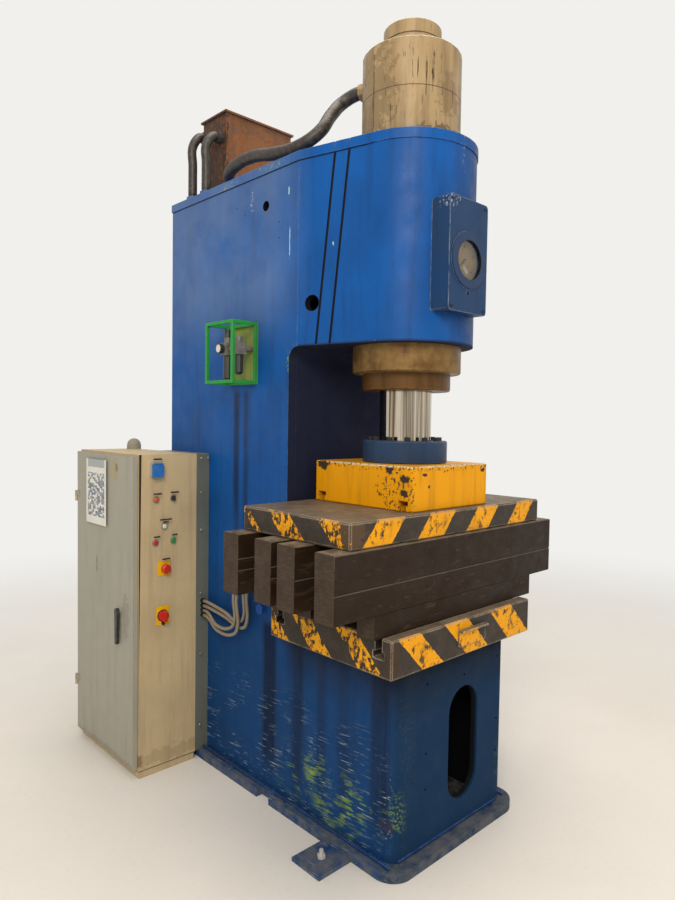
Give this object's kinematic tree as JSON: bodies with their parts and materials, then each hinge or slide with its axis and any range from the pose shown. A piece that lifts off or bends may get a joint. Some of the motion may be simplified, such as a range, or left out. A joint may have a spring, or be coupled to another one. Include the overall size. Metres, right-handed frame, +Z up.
{
  "type": "hydraulic press",
  "caption": "Blue C-frame hydraulic press with a vertical ram, yellow platen, bar stack, striped plates, oil tank and a side control cabinet.",
  "frame": {"origin": "on the floor, straight below the axis of the ram", "axes": "+Z up along the ram, -Y out of the press's front, +X to the right of someone facing the front"},
  "size_m": [1.3565, 1.8275, 3.0436],
  "materials": {
    "frame_blue": "semi-gloss blue enamel, worn",
    "housing_blue": "dark blue enamel",
    "cylinder_cream": "cream paint, oil-stained",
    "gland_brown": "oily brown paint",
    "rod_chrome": "hard-chromed and ground",
    "bronze": "machined bronze",
    "seal_rubber": "black rubber",
    "flange_grey": "blue-grey paint, rubbed",
    "dark_steel": "dark steel",
    "zinc": "zinc-plated sheet",
    "signal_yellow": "yellow enamel, chipped",
    "plate_black": "yellow and black stripes, worn",
    "bar_steel": "oiled steel with brown patina",
    "dial_white": "matt white",
    "gauge_glass": "clear",
    "black_plastic": "black moulding",
    "tank_brown": "rusty brown paint",
    "hose_rubber": "ribbed black rubber",
    "guard_green": "green enamel",
    "guard_olive": "olive paint",
    "panel_beige": "beige powder coat, aged",
    "door_grey": "grey-beige powder coat",
    "duct_grey": "grey-green powder coat",
    "grey_plastic": "grey moulding",
    "handle_black": "black moulding",
    "lens_amber": "amber lens",
    "button_white": "white cap",
    "signal_red": "red moulding",
    "button_green": "green cap",
    "socket_grey": "grey moulding",
    "blue_plastic": "blue moulding",
    "cable_grey": "pale ribbed sheath"
  },
  "bodies": {
    "press": {"air_unit": "black_plastic", "bars_front": "bar_steel", "bars_inner": "bar_steel", "bars_middle": "bar_steel", "bars_rear": "bar_steel", "base_plate": "frame_blue", "bolster": "plate_black", "bolster_bracket": "dark_steel", "cabinet_shell": "panel_beige", "cable_duct": "duct_grey", "cap_plate": "frame_blue", "cylinder_barrel": "cylinder_cream", "cylinder_head": "cylinder_cream", "cylinder_nut": "gland_brown", "front_plate": "frame_blue", "gauge_dial": "dial_white", "gauge_glass": "gauge_glass", "gauge_housing": "housing_blue", "guard_back": "guard_olive", "guard_cage": "guard_green", "head_floor": "frame_blue", "lamp_lens": "lens_amber", "mounting_plate": "zinc", "nose_shell": "frame_blue", "oil_tank": "tank_brown", "panel_cable_1": "cable_grey", "panel_cable_2": "cable_grey", "panel_cable_3": "cable_grey", "panel_cable_4": "cable_grey", "rear_plate": "frame_blue", "rod_bush": "bronze", "rod_gland": "gland_brown", "rod_seal": "seal_rubber", "side_plate_left": "frame_blue", "side_plate_right": "frame_blue", "socket_base": "socket_grey", "suction_hose": "hose_rubber", "switchgear_high": "grey_plastic", "switchgear_low": "grey_plastic", "switchgear_middle": "grey_plastic", "table_plate": "frame_blue", "tank_hose_front": "hose_rubber", "tank_hose_rear": "hose_rubber", "throat_plate": "frame_blue", "upper_plate": "plate_black"},
    "ram": {"piston_rod": "rod_chrome", "piston": "bronze", "rod_flange": "flange_grey", "ram_platen": "signal_yellow"},
    "door": {"cabinet_door": "door_grey"},
    "handle": {"door_handle": "handle_black"},
    "lid": {"socket_lid": "blue_plastic"},
    "white_button": {"button_white": "button_white"},
    "red_button": {"button_red": "signal_red"},
    "green_button": {"button_green": "button_green"},
    "selector": {"selector_knob": "black_plastic"},
    "main_knob": {"main_switch": "signal_red"},
    "stop_head": {"estop_button": "signal_red"},
    "air_knob": {"regulator_knob": "black_plastic"},
    "pointer": {"gauge_pointer": "black_plastic"}
  },
  "joints": [
    {"name": "ram_slide", "type": "slide", "parent": "press", "child": "ram", "axis": [0, 0, 1], "range_m": [0, 0.175]},
    {"name": "door_hinge", "type": "hinge", "parent": "press", "child": "door", "pos_m": [-0.7, 1.4775, 0.7], "axis": [0, 0, -1], "range_deg": [0, 110]},
    {"name": "handle_turn", "type": "hinge", "parent": "door", "child": "handle", "pos_m": [-0.6985, 1.013, 0.712], "axis": [1, 0, 0], "range_deg": [0, 90]},
    {"name": "lid_hinge", "type": "hinge", "parent": "press", "child": "lid", "pos_m": [-0.6005, 0.8614, 1.358], "axis": [-1, 0, 0], "range_deg": [0, 100]},
    {"name": "white_push", "type": "slide", "parent": "press", "child": "white_button", "axis": [0, 1, 0], "range_m": [0, 0.003], "stiffness_N_per_m": 300},
    {"name": "red_push", "type": "slide", "parent": "press", "child": "red_button", "axis": [0, 1, 0], "range_m": [0, 0.003], "stiffness_N_per_m": 300},
    {"name": "green_push", "type": "slide", "parent": "press", "child": "green_button", "axis": [0, 1, 0], "range_m": [0, 0.003], "stiffness_N_per_m": 300},
    {"name": "selector_turn", "type": "hinge", "parent": "press", "child": "selector", "pos_m": [-0.5185, 0.883, 1.205], "axis": [0, 1, 0], "range_deg": [-45, 45]},
    {"name": "main_switch_turn", "type": "hinge", "parent": "press", "child": "main_knob", "pos_m": [-0.5665, 0.883, 0.694], "axis": [0, 1, 0], "range_deg": [0, 90]},
    {"name": "stop_push", "type": "slide", "parent": "press", "child": "stop_head", "axis": [0, 1, 0], "range_m": [0, 0.005]},
    {"name": "regulator_turn", "type": "hinge", "parent": "press", "child": "air_knob", "pos_m": [-0.4013, 0.64, 1.9], "axis": [0, 0, 1], "continuous": true},
    {"name": "pointer_swing", "type": "hinge", "parent": "press", "child": "pointer", "pos_m": [-0.02, -0.27, 2.13], "axis": [0, 1, 0], "range_deg": [0, 260]}
  ]
}
